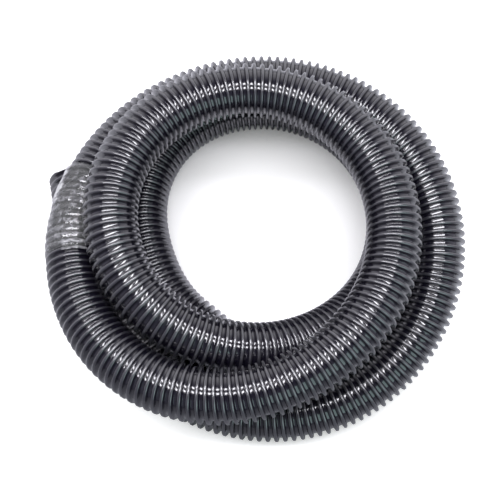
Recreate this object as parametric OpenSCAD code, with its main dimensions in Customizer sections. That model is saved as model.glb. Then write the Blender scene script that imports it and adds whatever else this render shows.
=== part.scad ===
// Corrugated vacuum hose, coiled for storage, with a wrap of stretch film round one strand.
// Millimetres, +Z up. The floor is z = 0, and the coil is wound about an axis along Z.

/* [Hose] */
// Bore of the hose
hose_bore = 38; // [30:0.5:46]
// Thickness of the wall between two ribs
wall = 0.9; // [0.7:0.1:1.4]
// Height of a rib above the wall
rib_h = 3.6; // [2:0.1:5]
// Pitch of the ribs on the cut end
rib_pitch = 6.5; // [5:0.1:8]
// Width of a rib on the cut end
rib_w = 2.8; // [1.5:0.1:3.6]
// Ribs on the cut end
end_ribs = 5; // [3:1:8]

/* [Coil] */
// Radius of lane 0, from the coil's axis to the middle of the hose
coil_r = 125; // [115:1:170]
// Least space between two strands
strand_gap = 1; // [0.8:0.1:4]
// Ribs along the coil
coil_ribs = 180; // [100:1:180]

/* [Film] */
// Length of the film along its strand
film_len = 80; // [40:1:110]
// Thickness of the film
film_t = 0.4; // [0.3:0.1:0.6]
// Clearance between the film and the crests under it
film_fit = 0.2; // [0.1:0.05:0.3]

/* [Hidden] */

bore_r = hose_bore / 2;
valley_r = bore_r + wall;
crest_r = valley_r + rib_h;
hose_od = 2 * crest_r;

// The hose is wound clockwise in one loose pile, from its covered inner end to its outer end.
// Its strands keep to lanes, counted outwards from coil_r, and to levels, counted up from the
// floor, both in strands. Each row is a turn, and its values are for the front left, left,
// back left, back right, right and front right of the pile. The turns are: the inner one on
// the floor, the one that climbs over it, and the outer one that comes down again. The single
// values before and after them draw the two ends in and out.
strand = hose_od + strand_gap;
lane_turns = [[-1.1],
              [-0.7, -0.8,  0.5,  0.6, -0.2, -0.5],
              [-0.1,  0.0, -0.2, -0.3, -0.3,  0.2],
              [ 1.1,  0.6,  0.3,  0.45, 0.7,  0.8],
              [ 0.3,  0.4,  1.4]];
level_turns = [[0],
               [0, 0, 0, 0, 0, 0.6],
               [1.4, 1.9, 1.9, 1.8, 1.7, 1.7],
               [1.3, 1.0, 1.0, 1.1, 0.9, 0],
               [0, 0, 0]];
lanes = [for (turn = lane_turns) each turn];
levels = [for (turn = level_turns) each turn];
station = 60;
first_angle = 240;
coil_start = 227;
coil_end = -898;
// Place of the coil's axis, which puts the middle of the pile over the origin
axis_x = 4;
axis_y = 4;

// Each end of the coil runs straight for one diameter, and the cut end carries on from the last.
lead = hose_od;
end_len = end_ribs * rib_pitch;
route_steps = 560;
hose_sides = 8;
// The underside of a strand on the floor is flat: corners this low go down to the floor, and
// those up to foot_blend times as high go part of the way.
foot_h = 0.12 * hose_od;
foot_blend = 3;

// The film lies on the outer strand at the coil's left.
film_angle = -545;
film_sides = 24;
film_rings = 10;
film_r = crest_r + film_fit;

function unit(v) = v / norm(v);

// A uniform cubic B-spline through the values v, one station apart
function spline(v, i, t) =
    (pow(1 - t, 3) * v[i]
     + (3 * pow(t, 3) - 6 * pow(t, 2) + 4) * v[i + 1]
     + (3 * t + 3 * pow(t, 2) - 3 * pow(t, 3) + 1) * v[i + 2]
     + pow(t, 3) * v[i + 3]) / 6;
function at_station(v, u) = spline(v, floor(u), u - floor(u));

// The middle of the hose at an angle round the coil, which falls as the hose goes on
function coil_point(angle) =
    let (u = (first_angle - angle) / station,
         r = coil_r + strand * at_station(lanes, u))
    [axis_x + r * cos(angle), axis_y + r * sin(angle), crest_r + strand * at_station(levels, u)];
function coil_dir(angle) = unit(coil_point(angle - 0.5) - coil_point(angle + 0.5));

start_point = coil_point(coil_start);
start_dir = coil_dir(coil_start);
end_point = coil_point(coil_end);
end_dir = coil_dir(coil_end);

// Length of the wound part up to each of its steps
turn_angles = [for (i = [0 : route_steps]) coil_start + (coil_end - coil_start) * i / route_steps];
turn_points = [for (a = turn_angles) coil_point(a)];
turn_lengths = [for (i = 0, s = 0; i <= route_steps;
                     s = s + (i < route_steps ? norm(turn_points[i + 1] - turn_points[i]) : 0),
                     i = i + 1) s];
turn_len = turn_lengths[route_steps];
angle_table = [for (i = [0 : route_steps]) [turn_lengths[i], turn_angles[i]]];
length_table = [for (i = [0 : route_steps]) [-turn_angles[i], turn_lengths[i]]];
coil_len = lead + turn_len + lead;
hose_len = coil_len + end_len;

// The middle of the hose and its direction, at a distance s from the inner end
function hose_point(s) =
    s < lead ? start_point + (s - lead) * start_dir
    : s > lead + turn_len ? end_point + (s - lead - turn_len) * end_dir
    : coil_point(lookup(s - lead, angle_table));
function hose_dir(s) =
    s < lead ? start_dir
    : s > lead + turn_len ? end_dir
    : coil_dir(lookup(s - lead, angle_table));

// Least gap of the hose to itself, between points of its middle that lie well apart along it
gap_points = [for (i = [0 : route_steps]) hose_point(hose_len * i / route_steps)];
gap_skip = ceil(2.5 * hose_od * route_steps / hose_len);
function nearest(i) = min([for (j = [i + gap_skip : route_steps]) norm(gap_points[i] - gap_points[j])]);
least_gap = min([for (i = [0 : route_steps - gap_skip]) nearest(i)]) - hose_od;
echo(hose_length = hose_len, least_gap_to_itself = least_gap);

// One ring of corners round the hose, with a flat side down
function ring(s, r, sides) =
    let (middle = hose_point(s),
         side = unit(cross(hose_dir(s), [0, 0, 1])),
         up = cross(side, hose_dir(s)))
    [for (k = [0 : sides - 1])
        let (a = (k + 0.5) * 360 / sides)
        middle + r * (cos(a) * side + sin(a) * up)];
function foot(z) =
    z < foot_h ? 0
    : z < foot_blend * foot_h ? (z - foot_h) * foot_blend / (foot_blend - 1)
    : z;
function on_floor(corners) = [for (p = corners) [p.x, p.y, foot(p.z)]];

// Faces of a band between two rings, whose first corners are a and b
function band(a, b, sides) =
    [for (k = [0 : sides - 1])
        let (j = (k + 1) % sides)
        each [[a + k, b + k, b + j], [a + k, b + j, a + j]]];

// A tube from a list of outer rings and a list of inner rings
module tube(outer, inner, sides) {
    points = concat([for (r = outer) each r], [for (r = inner) each r]);
    first_inner = len(outer) * sides;
    last_outer = first_inner - sides;
    last_inner = len(points) - sides;
    skin = [for (i = [0 : len(outer) - 2]) each band(i * sides, (i + 1) * sides, sides)];
    bore = [for (i = [0 : len(inner) - 2])
        each band(first_inner + (i + 1) * sides, first_inner + i * sides, sides)];
    rims = concat(band(first_inner, 0, sides), band(last_outer, last_inner, sides));
    polyhedron(points, concat(skin, bore, rims), convexity = 10);
}

// Each rib of the coil has a valley ring and a crest ring, and the bore has one ring to a rib.
module hose_coil() {
    rib_len = coil_len / coil_ribs;
    outer = [for (i = [0 : 2 * coil_ribs])
        on_floor(ring(i * rib_len / 2, i % 2 == 0 ? valley_r : crest_r, hose_sides))];
    inner = [for (i = [0 : coil_ribs]) ring(i * rib_len, bore_r, hose_sides)];
    color([0.09, 0.09, 0.11]) tube(outer, inner, hose_sides);
}

// The cut end of the hose: a thin wall with round-topped ribs, and a true bore
module hose_end() {
    mouth_turn = atan2(end_dir.y, end_dir.x);
    color([0.12, 0.12, 0.14])
        translate(hose_point(coil_len)) rotate([0, 90, mouth_turn])
            rotate_extrude($fn = 96) {
                translate([bore_r, 0]) square([wall, end_len]);
                for (i = [0 : end_ribs - 1]) translate([valley_r, (i + 0.5) * rib_pitch]) rib_profile();
            }
}

module rib_profile() {
    straight = rib_h - rib_w / 2;
    translate([0, -rib_w / 2]) square([straight, rib_w]);
    translate([straight, 0]) circle(d = rib_w, $fn = 24);
}

// A thin sleeve of stretch film round one strand
module film_wrap() {
    from = lead + lookup(-film_angle, length_table) - film_len / 2;
    places = [for (i = [0 : film_rings]) from + film_len * i / film_rings];
    color([0.75, 0.8, 0.8, 0.6])
        tube([for (s = places) ring(s, film_r + film_t, film_sides)],
             [for (s = places) ring(s, film_r, film_sides)], film_sides);
}

hose_coil();
hose_end();
film_wrap();
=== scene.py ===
import math

import bpy
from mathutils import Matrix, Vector, noise


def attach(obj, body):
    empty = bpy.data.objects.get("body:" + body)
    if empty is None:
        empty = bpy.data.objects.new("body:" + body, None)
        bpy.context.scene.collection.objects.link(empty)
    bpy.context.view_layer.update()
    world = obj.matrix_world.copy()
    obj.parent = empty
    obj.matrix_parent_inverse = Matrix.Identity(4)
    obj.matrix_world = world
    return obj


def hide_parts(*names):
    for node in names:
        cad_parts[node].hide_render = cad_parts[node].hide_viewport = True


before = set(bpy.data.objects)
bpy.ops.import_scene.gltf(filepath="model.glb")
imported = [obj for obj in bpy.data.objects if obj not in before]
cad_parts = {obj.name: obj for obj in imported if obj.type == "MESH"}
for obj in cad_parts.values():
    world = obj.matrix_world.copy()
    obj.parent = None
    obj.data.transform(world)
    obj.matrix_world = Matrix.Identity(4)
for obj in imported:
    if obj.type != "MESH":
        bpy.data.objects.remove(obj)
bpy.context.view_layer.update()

# Sizes of the hose, in metres
HOSE_BORE = 0.038
WALL = 0.0009
RIB_HEIGHT = 0.0036
RIB_PITCH = 0.0065
END_RIBS = 5
BORE_R = HOSE_BORE / 2
VALLEY_R = BORE_R + WALL
CREST_R = VALLEY_R + RIB_HEIGHT
HOSE_OD = 2 * CREST_R

# The route of the coil, as the part's source works it out, with its angles in degrees. Each turn
# has a row: how far outside COIL_R the hose lies at each side of the coil, and how high, both in
# strands
COIL_R = 0.125
STRAND = HOSE_OD + 0.001
LANE_TURNS = [[-1.1],
              [-0.7, -0.8, 0.5, 0.6, -0.2, -0.5],
              [-0.1, 0.0, -0.2, -0.3, -0.3, 0.2],
              [1.1, 0.6, 0.3, 0.45, 0.7, 0.8],
              [0.3, 0.4, 1.4]]
LEVEL_TURNS = [[0],
               [0, 0, 0, 0, 0, 0.6],
               [1.4, 1.9, 1.9, 1.8, 1.7, 1.7],
               [1.3, 1.0, 1.0, 1.1, 0.9, 0],
               [0, 0, 0]]
LANES = [lane for turn in LANE_TURNS for lane in turn]
LEVELS = [level for turn in LEVEL_TURNS for level in turn]
STATION = 60
FIRST_ANGLE = 240
COIL_START = 227
COIL_END = -898
AXIS = Vector((0.004, 0.004, 0))
LEAD = HOSE_OD
END_LEN = END_RIBS * RIB_PITCH

# How finely the line down the middle of the hose is drawn, and how finely a length of it is
# measured
WOUND_STEPS = 950
STRAIGHT_STEP = 0.003
LENGTH_STEPS = 2000


def spline(values, place):
    """A uniform cubic B-spline through the values, one station apart."""
    i = int(math.floor(place))
    t = place - i
    a, b, c, d = values[i:i + 4]
    return ((1 - t) ** 3 * a + (3 * t ** 3 - 6 * t ** 2 + 4) * b
            + (3 * t + 3 * t ** 2 - 3 * t ** 3 + 1) * c + t ** 3 * d) / 6


def coil_point(angle):
    """The middle of the hose at an angle round the coil, which falls as the hose goes on."""
    place = (FIRST_ANGLE - angle) / STATION
    radius = COIL_R + STRAND * spline(LANES, place)
    turn = math.radians(angle)
    height = CREST_R + STRAND * spline(LEVELS, place)
    return AXIS + Vector((radius * math.cos(turn), radius * math.sin(turn), height))


def coil_dir(angle):
    return (coil_point(angle - 0.5) - coil_point(angle + 0.5)).normalized()


def wound_points(last_angle, steps):
    """Points down the middle of the wound part up to an angle, without the one there."""
    return [coil_point(COIL_START + (last_angle - COIL_START) * i / steps) for i in range(steps)]


def straight(start, direction, length):
    """Points along a straight stretch, without its last one."""
    count = round(length / STRAIGHT_STEP)
    return [start + direction * (length * i / count) for i in range(count)]


def hose_route():
    """Points down the middle of the whole hose, from its covered end to its free end."""
    wound = wound_points(COIL_END, WOUND_STEPS)
    start_dir = coil_dir(COIL_START)
    end_dir = coil_dir(COIL_END)
    tail = LEAD + END_LEN
    last = coil_point(COIL_END)
    lead_in = straight(wound[0] - start_dir * LEAD, start_dir, LEAD)
    return lead_in + wound + straight(last, end_dir, tail) + [last + end_dir * tail]


def route_length(points):
    return sum((b - a).length for a, b in zip(points, points[1:]))


# ---- small helpers for node trees ----

class Amount:
    """A number that a node tree works out. Sums with it become Math nodes of the tree."""

    def __init__(self, tree, socket):
        self.tree = tree
        self.socket = socket

    def __add__(self, other):
        return maths(self.tree, "ADD", self, other)

    def __sub__(self, other):
        return maths(self.tree, "SUBTRACT", self, other)

    def __rsub__(self, other):
        return maths(self.tree, "SUBTRACT", other, self)

    def __mul__(self, other):
        return maths(self.tree, "MULTIPLY", self, other)

    def __truediv__(self, other):
        return maths(self.tree, "DIVIDE", self, other)

    def at_least(self, other):
        return maths(self.tree, "MAXIMUM", self, other)

    def at_most(self, other):
        return maths(self.tree, "MINIMUM", self, other)

    def over(self, other):
        """1 where this is more than the other, and 0 elsewhere."""
        return maths(self.tree, "GREATER_THAN", self, other)

    def under(self, other):
        """1 where this is less than the other, and 0 elsewhere."""
        return maths(self.tree, "LESS_THAN", self, other)

    def equals(self, whole):
        """1 where this is that whole number, and 0 elsewhere."""
        return maths(self.tree, "COMPARE", self, whole, 0.5)


def feed(tree, node, inputs):
    """Sets or links a node's inputs, by socket name or number."""
    for name, value in inputs.items():
        if isinstance(value, Amount):
            value = value.socket
        if isinstance(value, bpy.types.NodeSocket):
            tree.links.new(value, node.inputs[name])
        else:
            node.inputs[name].default_value = value


def add(tree, kind, inputs=None, **settings):
    """A new node with its settings and inputs."""
    node = tree.nodes.new(kind)
    for name, value in settings.items():
        setattr(node, name, value)
    feed(tree, node, inputs or {})
    return node


def maths(tree, operation, *values):
    node = add(tree, "ShaderNodeMath", dict(enumerate(values)), operation=operation)
    return Amount(tree, node.outputs[0])


def vector_maths(tree, operation, *values, **inputs):
    inputs.update(enumerate(values))
    return add(tree, "ShaderNodeVectorMath", inputs, operation=operation).outputs[0]


def choose(chosen, first, second):
    """The first where chosen is 1, and the second where it is 0."""
    return first * chosen + second * (1 - chosen)


def row_of(index, row_length):
    """Which row an index falls in, where each row is that long."""
    return maths(index.tree, "FLOOR", (index + 0.5) / row_length)


def switch(tree, index, values):
    """One of the values, chosen by a whole number."""
    node = add(tree, "GeometryNodeIndexSwitch", {"Index": index}, data_type="FLOAT")
    while len(node.index_switch_items) < len(values):
        node.index_switch_items.new()
    feed(tree, node, {i + 1: value for i, value in enumerate(values)})
    return Amount(tree, node.outputs[0])


def value_range(value, source, target):
    """Turns the range from source[0] to source[1] into that from target[0] to target[1]."""
    node = add(value.tree, "ShaderNodeMapRange", {
        "Value": value, "From Min": source[0], "From Max": source[1],
        "To Min": target[0], "To Max": target[1]})
    return Amount(value.tree, node.outputs["Result"])


def ramp(value, stops):
    """A colour ramp from (place, colour) stops."""
    node = add(value.tree, "ShaderNodeValToRGB", {"Fac": value})
    elements = node.color_ramp.elements
    while len(elements) < len(stops):
        elements.new(0.5)
    for element, (place, colour) in zip(elements, stops):
        element.position = place
        element.color = (*colour, 1)
    return node.outputs["Color"]


def object_place(tree):
    return add(tree, "ShaderNodeTexCoord").outputs["Object"]


def noise_at(tree, place, scale, detail):
    node = add(tree, "ShaderNodeTexNoise", {"Vector": place, "Scale": scale, "Detail": detail,
                                            "Roughness": 0.5})
    return Amount(tree, node.outputs["Fac"])


def attribute(tree, name):
    return Amount(tree, add(tree, "ShaderNodeAttribute", attribute_name=name).outputs["Fac"])


def bumps(tree, height, strength, distance):
    inputs = {"Height": height, "Strength": strength, "Distance": distance}
    return add(tree, "ShaderNodeBump", inputs).outputs[0]


def light_path(tree, name):
    return Amount(tree, add(tree, "ShaderNodeLightPath").outputs[name])


def mixed(tree, share, first, second):
    """The first shader where the share is 0, and the second where it is 1."""
    return add(tree, "ShaderNodeMixShader", {0: share, 1: first, 2: second}).outputs[0]


def empty_tree(owner):
    """The node tree of a material or a world, with nothing in it."""
    owner.use_nodes = True
    owner.node_tree.nodes.clear()
    return owner.node_tree


# ---- materials ----

# Both are coated, which gives them sharp glints over a softer shine.
# The plastic's colours hold painted light: painted shade darkens and blues the valleys, and a
# painted sheen lightens the crests.
PLASTIC_VALLEY_SHADE = (0.007, 0.006, 0.013)
PLASTIC_FLANK = (0.009, 0.008, 0.014)
PLASTIC_CREST_SHEEN = (0.025, 0.024, 0.032)
FILM_CLEAR = (0.17, 0.175, 0.17)
FILM_GREY = (0.38, 0.38, 0.40)
FILM_WHITE = (0.95, 0.96, 0.97)


def new_material(name):
    material = bpy.data.materials.new(name)
    tree = empty_tree(material)
    shader = add(tree, "ShaderNodeBsdfPrincipled")
    add(tree, "ShaderNodeOutputMaterial", {0: shader.outputs[0]})
    return material, tree, shader


def moulded_plastic():
    """Glossy near-black plastic, rougher on the crests and smoother in the valleys. Its colour
    holds painted light: darker and bluer in the valleys as painted shade, and lighter on the crests
    as a painted sheen.
    """
    material, tree, shader = new_material("moulded_plastic")
    place = object_place(tree)
    crest = attribute(tree, "crest")
    cloud = noise_at(tree, place, 45.0, 3.0)
    grain = noise_at(tree, place, 900.0, 2.0)

    def by_height(valley, crest_top):
        """A value for the valleys and the lower flanks, and one for the crests."""
        return value_range(crest, (0.5, 1.0), (valley, crest_top))

    # Low on the rib the colour is darker and bluer as painted shade, and up on the crest it is
    # lighter as a painted sheen; the cloud adds a tone that differs at random.
    height_light_and_tone = crest + (cloud - 0.5) * 0.5
    shade_and_sheen = [(0.0, PLASTIC_VALLEY_SHADE), (0.7, PLASTIC_FLANK), (1.0, PLASTIC_CREST_SHEEN)]
    uneven = value_range(cloud, (0.3, 0.7), (-0.01, 0.04))
    feed(tree, shader, {
        "Base Color": ramp(height_light_and_tone, shade_and_sheen),
        "Roughness": by_height(0.16, 0.32) + uneven,
        "Normal": bumps(tree, grain, 0.04, 0.0001),
        "IOR": 1.5,
        "Specular IOR Level": by_height(0.5, 1.0),
        "Coat Weight": 1.0,
        "Coat Roughness": by_height(0.05, 0.19),
        "Coat IOR": by_height(1.8, 2.1)})
    return material


def clear_film():
    """Clear stretch film, a soft grey where it lies close and whiter along its creases, with
    painted shade where it lies over the hose's valleys and a painted sheen on its pleat.
    """
    material, tree, shader = new_material("clear_film")
    place = object_place(tree)
    cloud = noise_at(tree, place, 260.0, 4.0)
    fine = noise_at(tree, place, 700.0, 3.0)
    # The crease attribute carries how milky the film is, with painted shade over the valleys and a
    # painted sheen on the pleat.
    milky_and_painted_light = attribute(tree, "crease") + (cloud - 0.5)
    feed(tree, shader, {
        "Base Color": ramp(milky_and_painted_light, [(0.0, FILM_CLEAR), (0.4, FILM_GREY), (1.0, FILM_WHITE)]),
        "Alpha": value_range(milky_and_painted_light, (-0.2, 0.9), (0.30, 0.95)),
        "Roughness": value_range(fine, (0.3, 0.7), (0.05, 0.15)),
        "Normal": bumps(tree, fine, 0.02, 0.0004),
        "IOR": 1.5,
        "Specular IOR Level": 1.0,
        "Coat Weight": 1.0,
        "Coat Roughness": 0.04,
        "Coat IOR": 1.7})
    return material


# ---- the hose ----

# Rings of one rib: how far along the pitch each lies, and its share of the rib's height
RIB_RINGS = [(0.10, 0.0), (0.19, 0.015), (0.29, 0.75), (0.39, 1.0),
             (0.61, 1.0), (0.71, 0.75), (0.81, 0.015), (0.90, 0.0)]
HOSE_SIDES = 27
BORE_STEP = 0.02
# The ribs start this many pitches early, and there are this many more than the length holds.
# The rings past an end are held at it, where they close its rim.
EARLY_RIBS = 2
SPARE_RIBS = 3
# A ring that is held back by more than this lies past an end.
END_GAP = 1e-6
# Corners that lie nearer together than this become one.
MERGE_GAP = 1e-5
HOSE_SIZES = {"Bore radius": BORE_R, "Wall": WALL, "Rib height": RIB_HEIGHT, "Rib pitch": RIB_PITCH}


def hose_tree(material, length):
    """Sweeps the hose along a line: helical ribs outside, and a smooth bore inside."""
    tree = bpy.data.node_groups.new("ribbed_hose", "GeometryNodeTree")
    panel = tree.interface
    panel.new_socket("Geometry", in_out="INPUT", socket_type="NodeSocketGeometry")
    for name, value in HOSE_SIZES.items():
        panel.new_socket(name, in_out="INPUT", socket_type="NodeSocketFloat").default_value = value
    panel.new_socket("Geometry", in_out="OUTPUT", socket_type="NodeSocketGeometry")
    given = add(tree, "NodeGroupInput").outputs
    bore, wall, rib_height, pitch = (Amount(tree, given[name]) for name in HOSE_SIZES)

    line = add(tree, "GeometryNodeMeshToCurve", {"Mesh": given["Geometry"]}).outputs[0]
    line = add(tree, "GeometryNodeSetCurveNormal", {"Curve": line}, mode="Z_UP").outputs[0]

    # A grid of corners: the rings of the outside, then those of the bore, then one last ring
    rib_rings = len(RIB_RINGS)
    outer = rib_rings * (math.ceil(length / RIB_PITCH) + SPARE_RIBS)
    inner = math.ceil(length / BORE_STEP) + 1
    rings = outer + inner + 1
    corners = HOSE_SIDES + 1
    grid = add(tree, "GeometryNodeMeshGrid", {"Vertices X": rings, "Vertices Y": corners})
    index = Amount(tree, add(tree, "GeometryNodeInputIndex").outputs[0])
    ring = row_of(index, corners)
    around = (index - ring * corners) / HOSE_SIDES

    # Along the outside, each ring leans by one pitch in its turn, so that the ribs are a helix.
    # The quarter keeps a ring's place from being rounded down to the one before it.
    rib = row_of(ring, rib_rings)
    place = ring - rib * rib_rings + 0.25
    phase = switch(tree, place, [p for p, _ in RIB_RINGS])
    crest = switch(tree, place, [h for _, h in RIB_RINGS])
    along = (rib + phase + (around - EARLY_RIBS)) * pitch
    held = along.at_least(0.0).at_most(length)
    past_end = maths(tree, "ABSOLUTE", along - held).over(END_GAP)
    crest = crest * (1 - past_end)
    outer_r = bore + wall + crest * rib_height

    # Then the bore comes back to the start, where the last ring closes the wall.
    is_outer = ring.under(outer - 0.5)
    is_last = ring.over(rings - 1.5)
    back = (ring - outer) / (inner - 1)
    inner_s = ((1 - back) * length).at_least(0.0)
    inner_r = bore + is_last * wall
    sample = add(tree, "GeometryNodeSampleCurve",
                 {"Curves": line, "Length": choose(is_outer, held, inner_s)},
                 mode="LENGTH", use_all_curves=True).outputs
    radius = choose(is_outer, outer_r, inner_r)

    side = sample["Normal"]
    down = vector_maths(tree, "CROSS_PRODUCT", sample["Tangent"], side)
    angle = around * (2 * math.pi)
    out = vector_maths(tree, "ADD",
                       vector_maths(tree, "SCALE", side, Scale=maths(tree, "COSINE", angle)),
                       vector_maths(tree, "SCALE", down, Scale=maths(tree, "SINE", angle)))
    point = vector_maths(tree, "ADD", sample["Position"],
                         vector_maths(tree, "SCALE", out, Scale=radius))

    # The flat cut faces at the two ends stay flat shaded.
    face_ring = row_of(index, HOSE_SIDES)
    far_rim = face_ring.equals(outer - 1)
    near_rim = face_ring.equals(rings - 2)
    mesh = grid.outputs["Mesh"]
    for kind, inputs in (
            ("GeometryNodeSetShadeSmooth", {"Shade Smooth": 1 - far_rim.at_least(near_rim)}),
            ("GeometryNodeStoreNamedAttribute", {"Name": "crest", "Value": crest * is_outer}),
            ("GeometryNodeSetPosition", {"Position": point}),
            ("GeometryNodeMergeByDistance", {"Distance": MERGE_GAP}),
            ("GeometryNodeRealizeInstances", {}),
            ("GeometryNodeSetMaterial", {"Material": material})):
        mesh = add(tree, kind, {"Geometry": mesh, **inputs}).outputs[0]
    add(tree, "NodeGroupOutput", {"Geometry": mesh})
    return tree


def placed(name, data):
    """A new object in the scene."""
    thing = bpy.data.objects.new(name, data)
    bpy.context.scene.collection.objects.link(thing)
    return thing


def mesh_object(name, points, edges=(), faces=()):
    mesh = bpy.data.meshes.new(name)
    mesh.from_pydata([tuple(p) for p in points], edges, faces)
    return placed(name, mesh)


def apply_modifiers(piece):
    """Turns what the modifiers make of a piece into its own plain mesh."""
    seen = piece.evaluated_get(bpy.context.evaluated_depsgraph_get())
    mesh = bpy.data.meshes.new_from_object(seen)
    piece.modifiers.clear()
    piece.data = mesh


def set_inputs(modifier, values):
    """Sets a modifier's inputs by the identifiers of their sockets."""
    for item in modifier.node_group.interface.items_tree:
        if item.item_type == "SOCKET" and item.name in values:
            modifier[item.identifier] = values[item.name]


def turn_outwards(piece):
    """Turns all faces over if the closed mesh is inside out."""
    mesh = piece.data
    mesh.calc_loop_triangles()
    volume = 0.0
    for triangle in mesh.loop_triangles:
        a, b, c = (mesh.vertices[i].co for i in triangle.vertices)
        volume += a.dot(b.cross(c))
    if volume < 0:
        mesh.flip_normals()


def corrugated_hose(route, material):
    length = route_length(route)
    edges = [(i, i + 1) for i in range(len(route) - 1)]
    hose = mesh_object("corrugated_hose", route, edges)
    modifier = hose.modifiers.new("ribs", "NODES")
    modifier.node_group = hose_tree(material, length)
    set_inputs(modifier, HOSE_SIZES)
    apply_modifiers(hose)
    turn_outwards(hose)
    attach(hose, "root")
    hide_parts("hose_coil", "hose_end")
    return hose


# ---- the stretch film ----

# It is wound round the outer strand at the coil's left, a little further back along the hose
# with each turn. Its near side is the one towards the hose's covered end. Sizes are in metres,
# and places round the strand in turns.
FILM_ANGLE = -545
FILM_LENGTH = 0.080
FILM_MARGIN = 0.002
FILM_TURNS = 2.3
FILM_CREEP = 0.003
FILM_SHIFT = 0.0035
FILM_STEPS_ALONG = 150
FILM_STEPS_ROUND = 330

# Height above the crests, and what each turn, crease, fold, wave, edge and pleat adds to it
FILM_LIFT = 0.0005
LEAST_LIFT = 0.0001
TURN_LIFT = 0.00015
CREASE_LIFT = 0.00012
FOLD_LIFT = 0.0006
WAVE_LIFT = 0.0006
EDGE_LIFT = 0.0003
PLEAT_LIFT = 0.0008

# How far it sags between two crests, how much more at its near side, and which share of that
# each turn takes away
FILM_SAG = 0.0005
SIDE_SAG = 0.0009
SAG_LOSS = 0.15

# How milky a crease, an edge and the first end are, how white the pleat is painted as a sheen, and
# how much clearer the film is over a valley, where it is also darker as painted shade, and at its
# far side
CREASE_MILK = 0.5
EDGE_MILK = 0.3
PLEAT_SHEEN = 1.1
END_MILK = 0.5
VALLEY_CLEARING_AND_SHADE = 0.45
SIDE_CLEARING = 0.2

# Patterns of noise: how fine along the hose to a metre, how fine round it to a turn, which layer
CREASES = (90, 5.3, 3.7)
WAVES = (60, 4, 1.9)
RAGS = (230, 3, 5.1)
FOLDS = (45, 2.3, 8.1)
FOLD_SLANT = (9, -40)

# The loose pleat: where it starts and ends in turns, how soft and how ragged its sides are
PLEAT_TURNS = (1.39, 1.51)
PLEAT_SOFT = 0.02
PLEAT_RAG = 0.035


def strand_frame(angle):
    """The middle of the hose there, with its side and its up."""
    forward = coil_dir(angle)
    side = forward.cross(Vector((0, 0, 1))).normalized()
    return coil_point(angle), side, side.cross(forward).normalized()


def angle_at(distance):
    """The angle round the coil at a distance along the hose from the film's middle."""
    radius = (coil_point(FILM_ANGLE) - AXIS).to_2d().length
    return FILM_ANGLE - math.degrees(distance / radius)


def length_to(angle):
    """The length of the hose from its covered end to an angle round the coil."""
    return LEAD + route_length(wound_points(angle, LENGTH_STEPS) + [coil_point(angle)])


def ridge(value):
    """Sharp where the noise passes through nought, as a crease is."""
    return max(0.0, 1 - abs(value) * 5) ** 2


def smooth_step(low, high, value):
    t = min(max((value - low) / (high - low), 0.0), 1.0)
    return t * t * (3 - 2 * t)


def noise_place(distance, turns, pattern, slant=(0, 0)):
    """Where a point of the film lies in a pattern of noise."""
    along, around, layer = pattern
    x = distance * along + turns * slant[0]
    y = turns * around + distance * slant[1]
    return Vector((x, y, layer))


def pleat_share(distance, turns, across):
    """1 on the loose pleat, which runs along the film's far half, and 0 off it."""
    ragged = turns + PLEAT_RAG * noise.noise(noise_place(distance, turns, RAGS))
    start, end = PLEAT_TURNS
    return (smooth_step(start - PLEAT_SOFT, start + PLEAT_SOFT, ragged)
            * smooth_step(end + PLEAT_SOFT, end - PLEAT_SOFT, ragged)
            * smooth_step(0.5, 0.6, across))


def film_point(across, turns, start):
    """A point of the film, with how milky it is there, its painted shade and painted sheen
    included.
    """
    width = FILM_LENGTH - 2 * FILM_MARGIN
    distance = (across - 0.5) * width - FILM_SHIFT - FILM_CREEP * (turns - FILM_TURNS / 2)
    middle, side, up = strand_frame(angle_at(distance))
    turn = 2 * math.pi * turns
    out = side * math.cos(turn) + up * math.sin(turn)

    crease_place = noise_place(distance, turns, CREASES)
    drift = Vector((0, 0, noise.noise(crease_place * 0.7) * 1.5))
    crease = ridge(noise.noise(crease_place + drift))
    fold = ridge(noise.noise(noise_place(distance, turns, FOLDS, FOLD_SLANT)))
    wave = noise.noise(noise_place(distance, turns, WAVES))
    edge = max(0.0, 1 - 14 * min(across, 1 - across))
    pleat = pleat_share(distance, turns, across)
    first_end = smooth_step(0.08, 0.02, turns)

    # The film lies on the crests and sags into the valleys between them, but not at the pleat.
    phase = (start + distance) / RIB_PITCH + turns
    valley = 0.5 + 0.5 * math.cos(2 * math.pi * phase)
    sag = (FILM_SAG + SIDE_SAG * smooth_step(0.3, 0.1, across)) * valley * (1 - SAG_LOSS * turns)
    lift = FILM_LIFT + TURN_LIFT * turns + CREASE_LIFT * crease + FOLD_LIFT * fold
    lift += WAVE_LIFT * wave + EDGE_LIFT * edge * noise.noise(crease_place * 1.3)
    lift = max(lift, LEAST_LIFT) + PLEAT_LIFT * pleat

    # It is clearest over the valleys, where it is darkened as painted shade, and clear at its far
    # side; it is milky where it is creased, and the loose pleat is painted white as a sheen.
    milky_and_painted_light = max(CREASE_MILK * crease, CREASE_MILK * fold, EDGE_MILK * edge)
    milky_and_painted_light -= VALLEY_CLEARING_AND_SHADE * valley ** 3 + SIDE_CLEARING * smooth_step(0.8, 1.0, across)
    milky_and_painted_light += (PLEAT_SHEEN + 0.7 * crease + 0.5 * wave) * pleat + END_MILK * first_end
    return middle + out * (CREST_R + lift - sag * (1 - pleat)), milky_and_painted_light


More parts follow.
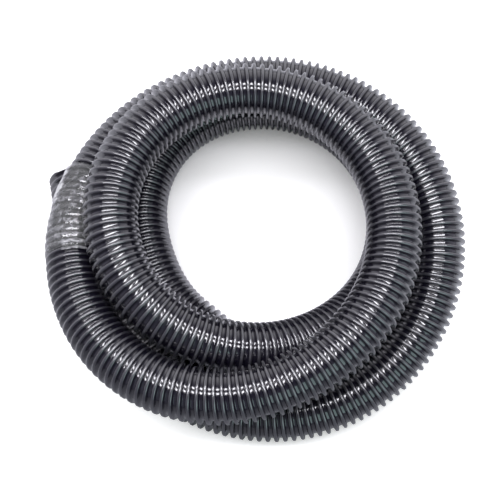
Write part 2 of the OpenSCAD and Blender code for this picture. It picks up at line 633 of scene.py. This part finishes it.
def stretch_film(material):
    """A wide band of film, wound a few turns round its strand and creased across itself."""
    start = length_to(FILM_ANGLE)
    rows = [[film_point(i / FILM_STEPS_ALONG, FILM_TURNS * j / FILM_STEPS_ROUND, start)
             for j in range(FILM_STEPS_ROUND + 1)] for i in range(FILM_STEPS_ALONG + 1)]
    columns = FILM_STEPS_ROUND + 1
    squares = [i * columns + j for i in range(FILM_STEPS_ALONG) for j in range(FILM_STEPS_ROUND)]
    faces = [(k, k + columns, k + columns + 1, k + 1) for k in squares]
    film = mesh_object("stretch_film", [p for row in rows for p, _ in row], faces=faces)
    # The attribute named crease holds how milky the film is, with the painted shade over the
    # valleys and the pleat's painted sheen.
    crease = film.data.attributes.new("crease", "FLOAT", "POINT")
    crease.data.foreach_set("value", [c for row in rows for _, c in row])
    film.data.polygons.foreach_set("use_smooth", [True] * len(film.data.polygons))
    film.data.materials.append(material)
    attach(film, "root")
    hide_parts("film_wrap")


# ---- camera, light and floor ----

VIEW_ELEVATION = 66.5
VIEW_DISTANCE = 1.32
VIEW_TARGET = Vector((-0.0016, 0.015, 0))
FOCAL_PIXELS = 1449
IMAGE_PIXELS = 500
SENSOR = 36.0

# Two long strip lamps overhead, whose glints run along the coil, and a wide window low at the
# front right
STRIPS = {"strip_front": (-0.1, -0.31, 1.45), "strip_back": (-0.1, 0.19, 1.45)}
STRIP_SIZE = (1.9, 0.2)
STRIP_POWER = 13.0
STRIP_COLOUR = (0.95, 0.94, 1.0)
WINDOW_PLACE = (0.75, -1.05, 0.6)
WINDOW_TARGET = (0.1, -0.1, 0.05)
WINDOW_SIZE = (1.2, 0.9)
WINDOW_POWER = 3.4
WINDOW_COLOUR = (0.72, 1.0, 0.95)

# What shiny things see of the room, from the floor's level up and from front to back
ROOM_UPWARDS = [(0.0, (1, 1, 1)), (0.55, (0.9, 0.9, 0.9)), (0.9, (0.15, 0.15, 0.18))]
ROOM_BACKWARDS = [(0.1, (0.17, 0.17, 0.22)), (0.42, (0.39, 0.38, 0.45)),
                  (0.6, (0.57, 0.56, 0.64)), (0.85, (0.94, 0.93, 1.0))]
ROOM_LIGHT = 0.1
WHITE = (1, 1, 1, 1)

# The floor is darker at the front for all but the camera, and the camera sees it glow where
# nothing stands over it, within a wide reach and within a close one.
FLOOR_HALF = 3.0
FLOOR_COLOUR = (0.65, 0.65, 0.66, 1)
FLOOR_BACKWARDS = [(0.3, (0.26, 0.26, 0.29)), (0.8, (0.80, 0.80, 0.85))]
WIDE_REACH, WIDE_GLOW = 0.22, 1.25
CLOSE_REACH, CLOSE_GLOW = 0.04, 0.45
GLOW_LOSS = 0.13


def aim(thing, target):
    direction = target - thing.location
    thing.rotation_euler = direction.to_track_quat("-Z", "Y").to_euler()


def camera():
    data = bpy.data.cameras.new("camera")
    data.sensor_width = SENSOR
    data.lens = SENSOR * FOCAL_PIXELS / IMAGE_PIXELS
    thing = placed("camera", data)
    rise = math.radians(VIEW_ELEVATION)
    thing.location = VIEW_TARGET + Vector((0, -math.cos(rise), math.sin(rise))) * VIEW_DISTANCE
    aim(thing, VIEW_TARGET)
    bpy.context.scene.camera = thing


def area_light(name, place, target, size, power, colour):
    data = bpy.data.lights.new(name, "AREA")
    data.shape = "RECTANGLE"
    data.size, data.size_y = size
    data.energy = power
    data.color = colour
    thing = placed(name, data)
    thing.location = place
    aim(thing, Vector(target))


def lights():
    for name, (x, y, z) in STRIPS.items():
        area_light(name, (x, y, z), (x, y, 0), STRIP_SIZE, STRIP_POWER, STRIP_COLOUR)
    area_light("side_window", WINDOW_PLACE, WINDOW_TARGET, WINDOW_SIZE, WINDOW_POWER, WINDOW_COLOUR)


def background(tree, colour, strength=1.0):
    return add(tree, "ShaderNodeBackground", {"Color": colour, "Strength": strength}).outputs[0]


def studio_world():
    """White for the camera, a room with darker parts for what shines, and a soft even light."""
    world = bpy.data.worlds.new("studio")
    bpy.context.scene.world = world
    tree = empty_tree(world)
    direction = add(tree, "ShaderNodeTexCoord").outputs["Generated"]
    parts = add(tree, "ShaderNodeSeparateXYZ", {0: direction}).outputs
    upwards = ramp(Amount(tree, parts["Z"]), ROOM_UPWARDS)
    backwards = value_range(Amount(tree, parts["Y"]), (-1.0, 1.0), (0.0, 1.0))
    room = vector_maths(tree, "MULTIPLY", upwards, ramp(backwards, ROOM_BACKWARDS))
    passed_on = light_path(tree, "Is Glossy Ray").at_least(light_path(tree, "Is Transmission Ray"))
    shader = mixed(tree, passed_on, background(tree, WHITE, ROOM_LIGHT), background(tree, room))
    shader = mixed(tree, light_path(tree, "Is Camera Ray"), shader, background(tree, WHITE))
    add(tree, "ShaderNodeOutputWorld", {0: shader})


def open_share(tree, reach):
    """How much of the sky is open above the floor, within that reach."""
    node = add(tree, "ShaderNodeAmbientOcclusion", {"Distance": reach}, samples=8)
    return Amount(tree, node.outputs["AO"])


def white_floor():
    """A plain white floor, with the shadow of what lies on it softened but kept."""
    half = FLOOR_HALF
    corners = [(-half, -half, 0), (half, -half, 0), (half, half, 0), (-half, half, 0)]
    thing = mesh_object("floor", corners, faces=[(0, 1, 2, 3)])
    material = bpy.data.materials.new("white_floor")
    tree = empty_tree(material)
    lit = add(tree, "ShaderNodeBsdfDiffuse", {"Color": FLOOR_COLOUR}).outputs[0]
    glow = open_share(tree, WIDE_REACH) * WIDE_GLOW + open_share(tree, CLOSE_REACH) * CLOSE_GLOW
    glowing = add(tree, "ShaderNodeEmission", {"Strength": glow - GLOW_LOSS}).outputs[0]
    seen = add(tree, "ShaderNodeAddShader", {0: lit, 1: glowing}).outputs[0]
    parts = add(tree, "ShaderNodeSeparateXYZ", {0: object_place(tree)}).outputs
    backwards = value_range(Amount(tree, parts["Y"]), (-0.3, 0.0), (0.0, 1.0))
    dimmed = ramp(backwards, FLOOR_BACKWARDS)
    duller = add(tree, "ShaderNodeBsdfDiffuse", {"Color": dimmed}).outputs[0]
    shader = mixed(tree, light_path(tree, "Is Camera Ray"), duller, seen)
    add(tree, "ShaderNodeOutputMaterial", {0: shader})
    thing.data.materials.append(material)


def main():
    camera()
    hose = corrugated_hose(hose_route(), moulded_plastic())
    stretch_film(clear_film())
    white_floor()
    studio_world()
    lights()
    bpy.context.scene.view_settings.view_transform = "Standard"


main()
